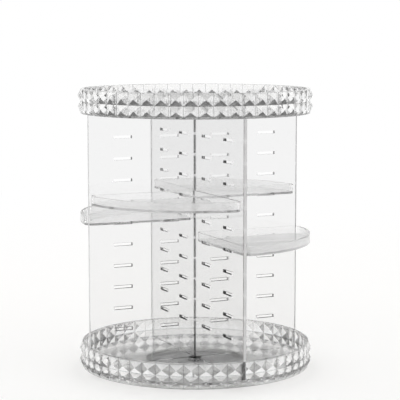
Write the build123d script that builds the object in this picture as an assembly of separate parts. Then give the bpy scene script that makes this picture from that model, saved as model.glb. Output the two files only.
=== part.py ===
from build123d import *
import math
import os

# A clear rotating organizer: a foot with a ball bearing, and on it a carousel of two dishes with
# faceted rims, joined by four upright panels in a cross. A quarter-round tray hooks into the
# panels of each quarter. Millimetres, +Z up, the floor at z = 0 and the spin axis on Z. The panels
# stand on the X and Y axes, and -Y is the front.

# Faceted rims, the same on both dishes
rim_inner_radius = 112.2
rim_wall = 3.3                # from the inside to the grooves between pyramids
rim_point_height = 2.5        # of the pyramids, over their grooves
rim_facets = 52               # pyramids in a row
rim_rows = 2
rim_row_height = 11.3
rim_lip = 0.9                 # plain band above and below the pyramids
rim_first_groove = 4.9        # degrees, from the X axis
rim_edge_round = 0.6          # inner top edge
rim_skirt = 3.4               # how far the lower rim hangs below its dish's floor

# Dishes and panels
dish_floor = 2.6              # thickness
storage_height = 250.6        # from the floor of one dish to the underside of the other
panel_thickness = 3.5
panel_rim_reach = 2.8         # past the inside of the rim
panel_edge_round = 0.5
panel_mitre_gap = 0.2         # from the axis to the point of each panel
panel_seat_gap = 0.1          # over the lower rim and the lower dish's floor, and under the upper dish
panel_rim_gap = 0.3           # from the inside of the lower rim
panel_tab_starts = (24.0, 78.0)
panel_tab_length = 18.0
panel_tab_inset = 0.2         # from a tab's end to the far face of the dish's floor
panel_tab_gap = 0.1           # round each tab in its slot

# Trays
tray_reach = 1.3              # past the edges of the panels
tray_height = 9.6
tray_wall = 1.8
tray_floor = 2.2
tray_corner = 9.0
tray_inner_corner = 6.0
tray_rim_round = 0.5
tray_side_gap = 0.35          # from each tray's side to its panel
tray_rest_gap = 0.15          # under the hooks in their slots
tray_slots = {                # the slots that each tray hangs in, counted up from 0
    "front_left": 6,
    "front_right": 4,
    "back_left": 5,
    "back_right": 6,
}
tray_quarters = {             # the signs of x and y in each quarter
    "front_left": (-1, -1),
    "front_right": (1, -1),
    "back_left": (-1, 1),
    "back_right": (1, 1),
}

# Slot ladder in each panel, and the trays' hooks in it
slot_levels = 10
slot_first_height = 34.2      # from the lower dish's floor to the lowest slots
slot_last_drop = 23.8         # from the upper dish to the foot of the highest slots
slot_starts = (19.2, 69.5)    # radius where each column of slots starts
slot_length = 19.5
slot_head_gap = 0.55          # over the hooks
hook_depth = 1.35             # how far a hook reaches into its panel
hook_end_gap = 0.6            # at the inner end of the slot
hook_slide_room = 2.9         # at the outer end of the slot, for drawing a tray out

# Dividers of the upper dish
rack_cells = 16
rack_cell_depth = 30.2        # from the rim to the corners of the rack's hoop
divider_wall = 1.6
divider_height = 18.0
divider_gap = 0.3             # at the ends of its walls
divider_seat_gap = 0.05       # under it

# Foot
foot_inset = 16.2             # from the inside of the rim
foot_plate = 2.0              # thickness
foot_height = 1.2             # from the floor to the foot plate
foot_edge_round = 0.6
pad_count = 6
pad_inset = 12.0              # from the edge of the foot to the middle of a pad
pad_diameter = 12.0
pad_sink = 0.5                # depth of each pad's pocket in the foot plate
pad_gap = 0.05

# Ball bearing
bearing_radius = 60.0
ball_count = 16
ball_diameter = 4.0
ball_gap = 0.1                # from a ball to the grooves
race_width = 18.0
race_thickness = 1.55
race_seat_gap = 0.05          # from each race to the plastic that it is screwed to
race_spacing = 2.0            # between the two races
race_rib_wall = 1.4           # ribs that centre the races
race_rib_height = 0.8
race_rib_gap = 0.1
cage_width = 6.6
cage_gap = 0.3                # from the cage to each race
cage_pocket_gap = 0.15
race_screw_count = 4
race_screw_inset = 3.4        # from the races' edges
race_screw_diameter = 2.0
race_screw_head = 4.0
race_screw_bite = 1.6         # depth in the plastic
screw_gap = 0.05

# Pivot at the middle
hub_radius = 8.0
pivot_gap = 0.05              # radial running clearance
boss_wall = 2.0               # flange and wall of the foot's raised middle
boss_lift = 2.0               # how far the foot's flange stands above its plate
washer_gap = 0.25             # running gap under the flange
washer_reach = 4.0            # past the hub
washer_space = 4.0            # from the washer to the wall of the raised middle
washer_thickness = 1.2
pivot_screw_diameter = 3.2
pivot_screw_head = 6.4
pivot_head_height = 1.1
pivot_screw_cover = 1.6       # dish floor left over the screw's hole

# Radii that follow
rim_groove_radius = rim_inner_radius + rim_wall
rim_point_radius = rim_groove_radius + rim_point_height
panel_radius = rim_inner_radius + panel_rim_reach
tray_radius = panel_radius + tray_reach
rack_radius = rim_inner_radius - rack_cell_depth
foot_radius = rim_inner_radius - foot_inset
pad_ring = foot_radius - pad_inset
race_inner_radius = bearing_radius - race_width / 2
race_outer_radius = bearing_radius + race_width / 2
groove_radius = ball_diameter / 2 + ball_gap
washer_radius = hub_radius + washer_reach

# Heights that follow
foot_top = foot_height + foot_plate
lower_race_bottom = foot_top + race_seat_gap
lower_race_top = lower_race_bottom + race_thickness
ball_level = lower_race_top + race_spacing / 2
upper_race_bottom = lower_race_top + race_spacing
base_underside = upper_race_bottom + race_thickness + race_seat_gap
base_floor_top = base_underside + dish_floor
base_rim_bottom = base_underside - rim_skirt
rim_height = rim_rows * rim_row_height + 2 * rim_lip
base_rim_top = base_rim_bottom + rim_height
top_underside = base_floor_top + storage_height
top_floor_top = top_underside + dish_floor
divider_bottom = top_floor_top + divider_seat_gap
flange_underside = foot_top + boss_lift - boss_wall
hub_bottom = flange_underside - washer_gap
slot_height = tray_floor + tray_rest_gap + slot_head_gap
slot_pitch = (storage_height - slot_first_height - slot_last_drop) / (slot_levels - 1)


def tube(outer, inner, bottom, top):
    """A round tube on the spin axis."""
    height = top - bottom
    ring = Circle(outer) - Circle(inner)
    return Pos(0, 0, bottom) * extrude(ring, height)


def disc(radius, bottom, top, x=0.0, y=0.0):
    """A round disc or pin that stands upright."""
    return Pos(x, y, bottom) * extrude(Circle(radius), top - bottom)


def block(x_span, y_span, z_span):
    """A box between two values on each axis, given in either order."""
    spans = [sorted(span) for span in (x_span, y_span, z_span)]
    size = [high - low for low, high in spans]
    middle = [(low + high) / 2 for low, high in spans]
    return Pos(*middle) * Box(*size)


def around(count, radius, first=0.0):
    """Places evenly round the axis, as (x, y) pairs, the first at an angle in degrees."""
    angles = [math.radians(first + 360 * step / count) for step in range(count)]
    return [(radius * math.cos(angle), radius * math.sin(angle)) for angle in angles]


def group(solids):
    """Identical loose pieces in one node."""
    return Compound(children=list(solids))


def faceted_prism(bottom):
    """A flat-topped drum whose side is rows of four-sided pyramids between two plain lips."""
    grooves = around(rim_facets, rim_groove_radius, rim_first_groove)
    half_step = 180 / rim_facets
    points = around(rim_facets, rim_point_radius, rim_first_groove + half_step)
    first_row = bottom + rim_lip
    row_levels = [first_row + row * rim_row_height for row in range(rim_rows + 1)]
    top = bottom + rim_height

    def polygon(*corners):
        return Face(Wire.make_polygon(corners, close=True))

    faces = [
        polygon(*[(x, y, bottom) for x, y in grooves]),
        polygon(*[(x, y, top) for x, y in grooves]),
    ]
    for index, tip_place in enumerate(points):
        left = grooves[index]
        right = grooves[(index + 1) % rim_facets]
        for low, high in ((bottom, row_levels[0]), (row_levels[-1], top)):
            faces.append(polygon((*left, low), (*right, low), (*right, high), (*left, high)))
        for low, high in zip(row_levels, row_levels[1:]):
            tip = (*tip_place, (low + high) / 2)
            corners = [(*left, low), (*right, low), (*right, high), (*left, high)]
            for corner, following in zip(corners, corners[1:] + corners[:1]):
                faces.append(polygon(corner, following, tip))
    drum = Solid(Shell(faces))
    return drum if drum.volume > 0 else Solid(Shell([-face for face in faces]))


def faceted_dish(rim_bottom, floor_bottom):
    """A dish with a faceted rim, whose floor may stand above the rim's lower edge."""
    rim_top = rim_bottom + rim_height
    dish = faceted_prism(rim_bottom)
    dish -= disc(rim_inner_radius, floor_bottom + dish_floor, rim_top)
    if floor_bottom > rim_bottom:
        dish -= disc(rim_inner_radius, rim_bottom, floor_bottom)
    top_circle = dish.edges().filter_by(GeomType.CIRCLE).group_by(Axis.Z)[-1]
    return fillet(top_circle, rim_edge_round)


def panel_tab_slots(bottom, top):
    """The cuts in a dish's floor for the tabs of all four panels."""
    half = panel_thickness / 2 + panel_tab_gap
    cuts = []
    for start in panel_tab_starts:
        low = start - panel_tab_gap
        high = start + panel_tab_length + panel_tab_gap
        for sign in (-1, 1):
            cuts.append(block((sign * low, sign * high), (-half, half), (bottom, top)))
            cuts.append(block((-half, half), (sign * low, sign * high), (bottom, top)))
    return cuts


def countersunk_screw(x, y, head_face, direction, gap=0.0):
    """A race screw whose flat head face lies at a height; direction is +1 or -1 along Z."""
    shank = race_screw_diameter / 2 + gap
    head = race_screw_head / 2 + gap
    cone_depth = head - shank
    tip = head_face + direction * (race_thickness + race_screw_bite + gap)
    cone_end = head_face + direction * cone_depth
    pin = disc(shank, *sorted((head_face, tip)), x, y)
    lower, upper = (shank, head) if direction < 0 else (head, shank)
    cone = Pos(x, y, (head_face + cone_end) / 2) * Cone(lower, upper, cone_depth)
    return pin + cone


def lower_screws(gap=0.0):
    ring = race_inner_radius + race_screw_inset
    places = around(race_screw_count, ring, 180 / race_screw_count)
    return [countersunk_screw(x, y, lower_race_top, -1, gap) for x, y in places]


def upper_screws(gap=0.0):
    ring = race_outer_radius - race_screw_inset
    places = around(race_screw_count, ring, 180 / race_screw_count)
    return [countersunk_screw(x, y, upper_race_bottom, 1, gap) for x, y in places]


def make_foot_plate():
    plate = tube(foot_radius, hub_radius + pivot_gap, foot_height, foot_top)
    rim_edges = plate.edges().filter_by(GeomType.CIRCLE).group_by(SortBy.RADIUS)[-1]
    plate = fillet(rim_edges, foot_edge_round)
    boss_top = foot_top + boss_lift
    recess_radius = washer_radius + washer_space
    plate += tube(recess_radius + boss_wall, hub_radius + pivot_gap, foot_top, boss_top)
    plate -= disc(recess_radius, foot_height, flange_underside)
    rib_outer = race_inner_radius - race_rib_gap
    plate += tube(rib_outer, rib_outer - race_rib_wall, foot_top, foot_top + race_rib_height)
    for x, y in around(pad_count, pad_ring):
        plate -= disc(pad_diameter / 2 + pad_gap, foot_height, foot_height + pad_sink, x, y)
    for hole in lower_screws(screw_gap):
        plate -= hole
    return plate


def make_rubber_pads():
    pad_top = foot_height + pad_sink
    return group([disc(pad_diameter / 2, 0, pad_top, x, y) for x, y in around(pad_count, pad_ring)])


def make_race(bottom, screws):
    race = tube(race_outer_radius, race_inner_radius, bottom, bottom + race_thickness)
    race -= Pos(0, 0, ball_level) * Torus(bearing_radius, groove_radius)
    for hole in screws:
        race -= hole
    return race


def ball_places():
    return around(ball_count, bearing_radius)


def make_ball_cage():
    outer = bearing_radius + cage_width / 2
    inner = bearing_radius - cage_width / 2
    bottom = lower_race_top + cage_gap
    top = upper_race_bottom - cage_gap
    cage = tube(outer, inner, bottom, top)
    for x, y in ball_places():
        cage -= disc(ball_diameter / 2 + cage_pocket_gap, bottom, top, x, y)
    return cage


def make_bearing_balls():
    ball = Sphere(ball_diameter / 2)
    return group([Pos(x, y, ball_level) * ball for x, y in ball_places()])


def make_pivot_washer():
    bore = pivot_screw_diameter / 2 + screw_gap
    return tube(washer_radius, bore, hub_bottom - washer_thickness, hub_bottom)


def pivot_pin(gap=0.0):
    radius = pivot_screw_diameter / 2 + gap
    return disc(radius, hub_bottom - washer_thickness, base_floor_top - pivot_screw_cover + gap)


def make_pivot_screw():
    head_top = hub_bottom - washer_thickness
    return disc(pivot_screw_head / 2, head_top - pivot_head_height, head_top) + pivot_pin()


def make_base_tray():
    tray = faceted_dish(base_rim_bottom, base_underside)
    tray += disc(hub_radius, hub_bottom, base_underside)
    rib_outer = race_inner_radius - race_rib_gap
    rib_bottom = base_underside - race_rib_height
    tray += tube(rib_outer, rib_outer - race_rib_wall, rib_bottom, base_underside)
    tray -= pivot_pin(screw_gap)
    for cut in panel_tab_slots(base_underside, base_floor_top) + upper_screws(screw_gap):
        tray -= cut
    return tray


def make_top_tray():
    tray = faceted_dish(top_underside, top_underside)
    for cut in panel_tab_slots(top_underside, top_floor_top):
        tray -= cut
    return tray


def make_panel(turn):
    """One upright, drawn along +X and turned to its place by an angle in degrees."""
    half = panel_thickness / 2
    bottom = base_floor_top + panel_seat_gap
    top = top_underside - panel_seat_gap
    heel = panel_mitre_gap + half
    outline = [
        (panel_mitre_gap, 0),
        (heel, -half),
        (panel_radius, -half),
        (panel_radius, half),
        (heel, half),
    ]
    panel = Pos(0, 0, bottom) * extrude(make_face(Polyline(*outline, close=True)), top - bottom)
    outer_edges = panel.edges().filter_by(Axis.Z).group_by(Axis.X)[-1]
    panel = fillet(outer_edges, panel_edge_round)
    notch_start = rim_inner_radius - panel_rim_gap
    notch_top = base_rim_top + panel_seat_gap
    panel -= block((notch_start, panel_radius), (-half, half), (bottom, notch_top))
    tab_bottom = base_underside + panel_tab_inset
    tab_top = top_floor_top - panel_tab_inset
    for start in panel_tab_starts:
        span = (start, start + panel_tab_length)
        panel += block(span, (-half, half), (tab_bottom, bottom))
        panel += block(span, (-half, half), (top, tab_top))
    for level in range(slot_levels):
        low = slot_bottom(level)
        for start in slot_starts:
            panel -= block((start, start + slot_length), (-half, half), (low, low + slot_height))
    return Rot(0, 0, turn) * panel


def slot_bottom(level):
    return base_floor_top + slot_first_height + level * slot_pitch


def quarter_outline(side, radius, corner, inner_corner):
    """A quarter disc with rounded corners, whose straight sides lie at x = side and y = side."""
    reach = math.sqrt(radius**2 - side**2)
    middle = radius / math.sqrt(2)
    edges = Line((side, side), (reach, side))
    edges += ThreePointArc((reach, side), (middle, middle), (side, reach))
    edges += Line((side, reach), (side, side))
    outline = make_face(edges)
    outer_corners = outline.vertices().sort_by_distance((0, 0))[1:]
    outline = fillet(outer_corners, corner)
    inner = outline.vertices().sort_by_distance((0, 0))[0]
    return fillet(inner, inner_corner)


def make_tray(quarter):
    """A shelf tray, drawn in the +X +Y quarter and mirrored to its place."""
    bottom = slot_bottom(tray_slots[quarter]) + tray_rest_gap
    side = panel_thickness / 2 + tray_side_gap
    outline = quarter_outline(side, tray_radius, tray_corner, tray_inner_corner)
    tray = Pos(0, 0, bottom) * extrude(outline, tray_height)
    hollow = quarter_outline(
        side + tray_wall,
        tray_radius - tray_wall,
        tray_corner - tray_wall,
        tray_inner_corner - tray_wall,
    )
    tray -= Pos(0, 0, bottom + tray_floor) * extrude(hollow, tray_height - tray_floor)
    tray = fillet(tray.edges().group_by(Axis.Z)[-1], tray_rim_round)
    tray = fillet(tray.edges().group_by(Axis.Z)[0], tray_rim_round)
    hook_tip = panel_thickness / 2 - hook_depth
    hook_root = side + tray_wall / 2
    hook_length = slot_length - hook_end_gap - hook_slide_room
    for start in slot_starts:
        low = start + hook_end_gap
        length_span = (low, low + hook_length)
        depth_span = (hook_tip, hook_root)
        height_span = (bottom, bottom + tray_floor)
        tray += block(length_span, depth_span, height_span)
        tray += block(depth_span, length_span, height_span)
    x_sign, y_sign = tray_quarters[quarter]
    if x_sign < 0:
        tray = tray.mirror(Plane.YZ)
    if y_sign < 0:
        tray = tray.mirror(Plane.XZ)
    return tray


def hoop_inner():
    """Radius to the inner corners of the rack's hoop."""
    return rack_radius - divider_wall / math.cos(math.pi / rack_cells)


def make_lipstick_rack():
    """A hoop of flat sides with a fin at each corner, which makes cells along the rim."""
    half = divider_wall / 2
    hoop = RegularPolygon(rack_radius, rack_cells) - RegularPolygon(hoop_inner(), rack_cells)
    rack = extrude(hoop, divider_height)
    fin_start = rack_radius - divider_wall
    fin_end = math.sqrt((rim_inner_radius - divider_gap) ** 2 - half**2)
    fin = block((fin_start, fin_end), (-half, half), (0, divider_height))
    for index in range(rack_cells):
        rack += Rot(0, 0, 360 * index / rack_cells) * fin
    return Pos(0, 0, divider_bottom) * rack


def make_brush_divider():
    """A cross that splits the middle of the upper dish into four."""
    half = divider_wall / 2
    reach = hoop_inner() - half * math.tan(math.pi / rack_cells) - divider_gap
    span = (divider_bottom, divider_bottom + divider_height)
    return block((-reach, reach), (-half, half), span) + block((-half, half), (-reach, reach), span)


parts = {
    "foot_plate": make_foot_plate(),
    "rubber_pads": make_rubber_pads(),
    "lower_race": make_race(lower_race_bottom, lower_screws(screw_gap)),
    "lower_race_screws": group(lower_screws()),
    "ball_cage": make_ball_cage(),
    "bearing_balls": make_bearing_balls(),
    "upper_race": make_race(upper_race_bottom, upper_screws(screw_gap)),
    "upper_race_screws": group(upper_screws()),
    "pivot_washer": make_pivot_washer(),
    "pivot_screw": make_pivot_screw(),
    "base_tray": make_base_tray(),
    "panel_right": make_panel(0),
    "panel_back": make_panel(90),
    "panel_left": make_panel(180),
    "panel_front": make_panel(270),
    "top_tray": make_top_tray(),
    "lipstick_rack": make_lipstick_rack(),
    "brush_divider": make_brush_divider(),
}
for quarter in tray_slots:
    parts["tray_" + quarter] = make_tray(quarter)

for name, part in parts.items():
    export_step(part, os.path.join("parts", name + ".step"))
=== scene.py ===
import math

import bpy
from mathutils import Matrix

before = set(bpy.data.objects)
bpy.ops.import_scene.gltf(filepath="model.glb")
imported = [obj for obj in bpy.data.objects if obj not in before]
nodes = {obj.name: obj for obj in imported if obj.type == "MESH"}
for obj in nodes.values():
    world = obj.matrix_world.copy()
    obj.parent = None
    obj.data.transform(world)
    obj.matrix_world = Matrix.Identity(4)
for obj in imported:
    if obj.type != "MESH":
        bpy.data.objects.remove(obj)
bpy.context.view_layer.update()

# Lengths are in metres, apart from the camera's lens and sensor, which are in millimetres.

# Camera, fitted to the photograph: it stands at the front left of the panels' cross
CAMERA_DISTANCE = 1.4929              # from the axis
CAMERA_HEIGHT = 0.3496
CAMERA_TURN = math.radians(24.2)      # from the front, -Y, towards -X
CAMERA_PITCH = math.radians(6.76)     # downwards
CAMERA_YAW = math.radians(0.18)       # to the right, so the object stands left of centre
CAMERA_LENS = 133.4
CAMERA_SENSOR = 36.0
CAMERA_REACH = 100.0                  # past the corners of the floor


def add_camera():
    data = bpy.data.cameras.new("camera")
    data.lens = CAMERA_LENS
    data.sensor_width = CAMERA_SENSOR
    data.clip_end = CAMERA_REACH
    camera = bpy.data.objects.new("camera", data)
    bpy.context.scene.collection.objects.link(camera)
    camera.location = (
        -CAMERA_DISTANCE * math.sin(CAMERA_TURN),
        -CAMERA_DISTANCE * math.cos(CAMERA_TURN),
        CAMERA_HEIGHT,
    )
    camera.rotation_euler = (math.pi / 2 - CAMERA_PITCH, 0.0, -CAMERA_TURN - CAMERA_YAW)
    bpy.context.scene.camera = camera


# Clear plastic
CLEAR = (0.99, 0.99, 0.99, 1.0)
FROSTED = (0.82, 0.82, 0.82, 1.0)
ABSORPTION_TINT = (0.5, 0.5, 0.5, 1.0)    # of the light that runs a long way inside it
ACRYLIC_IOR = 1.49
RIM_IOR = 1.6                             # above the real one, so that the facets sparkle
WEAR_SCALE = 900.0                        # of the noise that varies the polish
WEAR_RANGE = (0.35, 0.75)                 # of that noise, from polished to worn
WORN_ROUGHNESS = 1.5                      # times the polished one

# The panels' edges and the trays' outer walls, which are less clear, lie beyond these radii
PANEL_EDGE_RADIUS = 0.11498
TRAY_WALL_RADIUS = 0.1144
OUTSIDE_STEP = 0.00008                    # just inside such a radius, where the finish changes

# Grooves between the pyramids of the faceted rims, along which grey shade is painted
RIM_FACETS = 52
RIM_FIRST_GROOVE = math.radians(4.9)      # from the X axis
RIM_GROOVE_RADIUS = 0.1155
BASE_MIDDLE_GROOVE = 0.0172               # height of the groove between the two rows
TOP_MIDDLE_GROOVE = 0.2738
SHADED_GROOVE_WIDTH = 0.0006
SHADED_GROOVE_DEPTH = 0.0004                     # of the painted shade, inside the groove radius
# painted shade: the grey given to the rims along their grooves
GROOVE_PAINTED_SHADE = (0.4, 0.4, 0.4, 1.0)
TWO_TURNS = 4 * math.pi                   # added to an angle, to keep it above zero


class Material:
    """A node material with short calls for the nodes that it needs."""

    def __init__(self, name):
        self.material = bpy.data.materials.new(name)
        self.material.use_nodes = True
        self.tree = self.material.node_tree
        self.tree.nodes.clear()
        self.output = self.tree.nodes.new("ShaderNodeOutputMaterial")
        self.place = self.node("ShaderNodeTexCoord").outputs["Object"]

    def link(self, source, socket):
        self.tree.links.new(source, socket)

    def node(self, kind, links=None, **values):
        node = self.tree.nodes.new(kind)
        for key, value in values.items():
            if key in node.inputs:
                node.inputs[key].default_value = value
            else:
                setattr(node, key, value)
        for socket, source in (links or {}).items():
            self.link(source, node.inputs[socket])
        return node

    def noise(self, scale, detail):
        noise = self.node("ShaderNodeTexNoise", {"Vector": self.place}, Scale=scale, Detail=detail)
        return noise.outputs["Fac"]

    def bump(self, height, strength, distance):
        bump = self.node("ShaderNodeBump", {"Height": height}, Strength=strength, Distance=distance)
        return bump.outputs["Normal"]

    def map_range(self, value, source, target=(0.0, 1.0), **settings):
        node = self.node("ShaderNodeMapRange", {"Value": value}, **settings)
        for socket, number in zip(("From Min", "From Max", "To Min", "To Max"), (*source, *target)):
            node.inputs[socket].default_value = number
        return node.outputs["Result"]

    def calculate(self, operation, first, second=0.0):
        node = self.node("ShaderNodeMath", operation=operation)
        for socket, value in zip(node.inputs, (first, second)):
            if isinstance(value, float):
                socket.default_value = value
            else:
                self.link(value, socket)
        return node.outputs[0]

    def distance_from_axis(self):
        flat = self.node("ShaderNodeVectorMath", {0: self.place}, operation="MULTIPLY")
        flat.inputs[1].default_value = (1.0, 1.0, 0.0)
        reach = self.node("ShaderNodeVectorMath", {0: flat.outputs["Vector"]}, operation="LENGTH")
        return reach.outputs["Value"]


def painted_groove_shade(m, middle_groove):
    """Clear, with grey shade painted along the grooves that part the pyramids of a rim."""
    axes = m.node("ShaderNodeSeparateXYZ", {"Vector": m.place})
    angle = m.calculate("ARCTAN2", axes.outputs["Y"], axes.outputs["X"])
    turn = m.calculate("ADD", angle, TWO_TURNS - RIM_FIRST_GROOVE)
    off_upright = m.calculate("PINGPONG", turn, math.pi / RIM_FACETS)
    off_upright = m.calculate("MULTIPLY", off_upright, RIM_GROOVE_RADIUS)
    off_middle = m.calculate("ABSOLUTE", m.calculate("SUBTRACT", axes.outputs["Z"], middle_groove))
    nearest = m.calculate("MINIMUM", off_upright, off_middle)
    # where the shade is painted: near an upright groove or the middle one, on the outer faces
    groove = m.calculate("LESS_THAN", nearest, SHADED_GROOVE_WIDTH / 2)
    outer = m.calculate("GREATER_THAN", m.distance_from_axis(), RIM_GROOVE_RADIUS - SHADED_GROOVE_DEPTH)
    colour = m.node("ShaderNodeMix", {0: m.calculate("MULTIPLY", groove, outer)}, data_type="RGBA")
    colour.inputs[6].default_value = CLEAR
    colour.inputs[7].default_value = GROOVE_PAINTED_SHADE
    return colour.outputs[2]


def clear_plastic(
    name, absorption, roughness, wave_scale, wave_height=0.00003, clearness=1.0, ior=ACRYLIC_IOR,
    colour=CLEAR, outside=None, middle_groove=None,
):
    """Clear moulded plastic: refraction that darkens over a long way, faint waves and a varying polish.

    absorption is per metre. outside is (radius, clearness, roughness) of the faces beyond a radius
    from the axis. middle_groove is the height of the groove between the rows of a faceted rim.
    """
    m = Material(name)
    waves = m.bump(m.noise(wave_scale, detail=1.5), strength=1.0, distance=wave_height)
    shader = m.node("ShaderNodeBsdfPrincipled", {"Normal": waves}, IOR=ior)
    wear = m.noise(WEAR_SCALE, detail=3.0)
    rough = m.map_range(wear, WEAR_RANGE, (roughness, roughness * WORN_ROUGHNESS))
    if outside:
        radius, outside_clearness, outside_roughness = outside
        edge = m.map_range(m.distance_from_axis(), (radius - OUTSIDE_STEP, radius))
        clear = m.map_range(edge, (0.0, 1.0), (clearness, outside_clearness))
        m.link(clear, shader.inputs["Transmission Weight"])
        finish = m.node("ShaderNodeMix", {0: edge, 2: rough}, data_type="FLOAT")
        finish.inputs[3].default_value = outside_roughness
        rough = finish.outputs[0]
    else:
        shader.inputs["Transmission Weight"].default_value = clearness
    m.link(rough, shader.inputs["Roughness"])
    # painted shade along the grooves of a faceted rim
    if middle_groove:
        m.link(painted_groove_shade(m, middle_groove), shader.inputs["Base Color"])
    else:
        shader.inputs["Base Color"].default_value = colour
    m.link(shader.outputs["BSDF"], m.output.inputs["Surface"])
    depth = m.node("ShaderNodeVolumeAbsorption", Color=ABSORPTION_TINT, Density=absorption)
    m.link(depth.outputs["Volume"], m.output.inputs["Volume"])
    return m.material


def metal(name, colour, roughness, grain_scale):
    """Bare metal, whose polish varies by three tenths either way along its grain."""
    m = Material(name)
    grain = m.noise(grain_scale, detail=4.0)
    shader = m.node("ShaderNodeBsdfPrincipled", {
        "Roughness": m.map_range(grain, (0.0, 1.0), (roughness * 0.7, roughness * 1.3)),
        "Normal": m.bump(grain, strength=0.3, distance=0.00005),
    })
    shader.inputs["Base Color"].default_value = (*colour, 1.0)
    shader.inputs["Metallic"].default_value = 1.0
    m.link(shader.outputs["BSDF"], m.output.inputs["Surface"])
    return m.material


def solid_plastic(name, dark, light, roughness, mottle_scale, bump_height):
    """Opaque plastic or rubber, mottled between two near colours."""
    m = Material(name)
    mottle = m.noise(mottle_scale, detail=4.0)
    ramp = m.node("ShaderNodeValToRGB", {"Fac": mottle})
    ramp.color_ramp.elements[0].color = (*dark, 1.0)
    ramp.color_ramp.elements[1].color = (*light, 1.0)
    shader = m.node("ShaderNodeBsdfPrincipled", {
        "Base Color": ramp.outputs["Color"],
        "Normal": m.bump(mottle, strength=0.5, distance=bump_height),
    }, Roughness=roughness)
    m.link(shader.outputs["BSDF"], m.output.inputs["Surface"])
    return m.material


def dress(material, *names):
    for name in names:
        data = nodes[name].data
        data.materials.clear()
        data.materials.append(material)


def dress_dishes():
    rims = {"roughness": 0.05, "wave_scale": 40.0, "wave_height": 0.00002, "ior": RIM_IOR}
    # both rims get painted shade along their grooves
    base = clear_plastic("clear_base", absorption=5.0, middle_groove=BASE_MIDDLE_GROOVE, **rims)
    top = clear_plastic("clear_top", absorption=8.0, middle_groove=TOP_MIDDLE_GROOVE, **rims)
    divider = clear_plastic("clear_divider", absorption=8.0, roughness=0.03, wave_scale=30.0)
    dress(base, "base_tray")
    dress(top, "top_tray")
    dress(divider, "lipstick_rack", "brush_divider")


def dress_panels_and_trays():
    edges = (PANEL_EDGE_RADIUS, 0.4, 0.35)
    sheet = clear_plastic("clear_sheet", absorption=50.0, roughness=0.03, wave_scale=14.0, outside=edges)
    walls = (TRAY_WALL_RADIUS, 0.85, 0.15)
    tray = clear_plastic("clear_tray", absorption=8.0, roughness=0.05, wave_scale=30.0, outside=walls)
    dress(sheet, "panel_front", "panel_right", "panel_back", "panel_left")
    dress(tray, "tray_front_left", "tray_front_right", "tray_back_left", "tray_back_right")


def dress_foot_and_bearing():
    foot = clear_plastic(
        "clear_foot", absorption=8.0, roughness=0.3, wave_scale=30.0, clearness=0.3, colour=FROSTED
    )
    steel = metal("screw_steel", (0.62, 0.63, 0.64), roughness=0.3, grain_scale=700.0)
    polished = metal("ball_steel", (0.72, 0.73, 0.74), roughness=0.08, grain_scale=300.0)
    rubber = solid_plastic(
        "rubber", dark=(0.55, 0.55, 0.54), light=(0.62, 0.62, 0.61),
        roughness=0.6, mottle_scale=1500.0, bump_height=0.00004,
    )
    race = solid_plastic(
        "race_plastic", dark=(0.86, 0.86, 0.85), light=(0.9, 0.9, 0.89),
        roughness=0.35, mottle_scale=500.0, bump_height=0.00002,
    )
    acetal = solid_plastic(
        "acetal", dark=(0.74, 0.74, 0.72), light=(0.82, 0.82, 0.8),
        roughness=0.45, mottle_scale=400.0, bump_height=0.00002,
    )
    dress(foot, "foot_plate")
    dress(race, "lower_race", "upper_race")
    dress(steel, "lower_race_screws", "upper_race_screws", "pivot_screw")
    dress(polished, "bearing_balls")
    dress(rubber, "rubber_pads")
    dress(acetal, "ball_cage", "pivot_washer")


# Floor
FLOOR_REACH = 60.0                        # from the axis to its sides
FLOOR_PAINT = (0.955, 0.95, 0.94, 1.0)
FLOOR_GLOW_RANGE = (0.3, 1.6)             # distances from the axis between which the glow sets in
FLOOR_GLOW = (1.0, 1.0, 1.0, 1.0)


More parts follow.
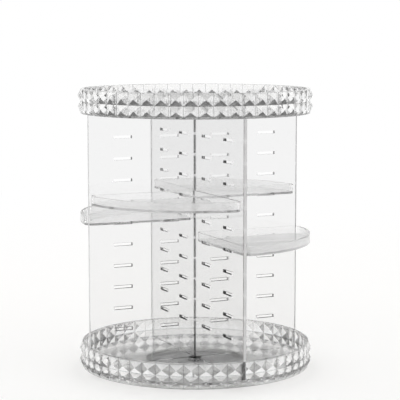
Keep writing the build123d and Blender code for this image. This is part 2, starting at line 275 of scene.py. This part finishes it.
def add_floor():
    """A pale floor that keeps shadows near the object and glows white far from it."""
    mesh = bpy.data.meshes.new("floor")
    corners = [(-1, -1), (1, -1), (1, 1), (-1, 1)]
    mesh.from_pydata([(x * FLOOR_REACH, y * FLOOR_REACH, 0) for x, y in corners], [], [(0, 1, 2, 3)])
    floor = bpy.data.objects.new("floor", mesh)
    bpy.context.scene.collection.objects.link(floor)
    m = Material("floor")
    far = m.map_range(m.distance_from_axis(), FLOOR_GLOW_RANGE, interpolation_type="SMOOTHSTEP")
    paint = m.node("ShaderNodeBsdfDiffuse", Color=FLOOR_PAINT)
    glow = m.node("ShaderNodeEmission", Color=FLOOR_GLOW)
    shader = m.node("ShaderNodeMixShader", {0: far, 1: paint.outputs[0], 2: glow.outputs[0]})
    m.link(shader.outputs[0], m.output.inputs["Surface"])
    mesh.materials.append(m.material)


# Brightness of the studio by height, as pairs of the sine of the elevation and the level
SKY_LEVELS = (
    (0.0, 1.0), (0.14, 1.0), (0.155, 0.12), (0.33, 0.12), (0.36, 1.27),
    (0.75, 1.27), (0.8, 1.0), (1.0, 1.0),
)


def add_world():
    """A white studio: bright walls, a dark band that draws facets and edges, and soft light from above."""
    world = bpy.data.worlds.new("studio")
    bpy.context.scene.world = world
    world.use_nodes = True
    tree = world.node_tree
    tree.nodes.clear()
    output = tree.nodes.new("ShaderNodeOutputWorld")
    background = tree.nodes.new("ShaderNodeBackground")
    place = tree.nodes.new("ShaderNodeTexCoord")
    split = tree.nodes.new("ShaderNodeSeparateXYZ")
    ramp = tree.nodes.new("ShaderNodeValToRGB")
    levels = ramp.color_ramp
    while len(levels.elements) < len(SKY_LEVELS):
        levels.elements.new(1.0)
    for element, (height, level) in zip(levels.elements, SKY_LEVELS):
        element.position = height
        element.color = (level, level, level, 1.0)
    tree.links.new(place.outputs["Generated"], split.inputs["Vector"])
    tree.links.new(split.outputs["Z"], ramp.inputs["Fac"])
    tree.links.new(ramp.outputs["Color"], background.inputs["Color"])
    tree.links.new(background.outputs["Background"], output.inputs["Surface"])
    background.inputs["Strength"].default_value = 1.0


# Bounces of light, enough to pass through all the clear walls behind each other
CLEAR_BOUNCES = 32
DIFFUSE_BOUNCES = 12


def set_render():
    scene = bpy.context.scene
    scene.view_settings.view_transform = "Standard"
    scene.cycles.max_bounces = CLEAR_BOUNCES
    scene.cycles.transmission_bounces = CLEAR_BOUNCES
    scene.cycles.glossy_bounces = CLEAR_BOUNCES
    scene.cycles.diffuse_bounces = DIFFUSE_BOUNCES
    scene.cycles.transparent_max_bounces = CLEAR_BOUNCES
    scene.cycles.caustics_reflective = True
    scene.cycles.caustics_refractive = True
    scene.cycles.blur_glossy = 0.0


add_camera()
dress_dishes()
dress_panels_and_trays()
dress_foot_and_bearing()
add_floor()
add_world()
set_render()
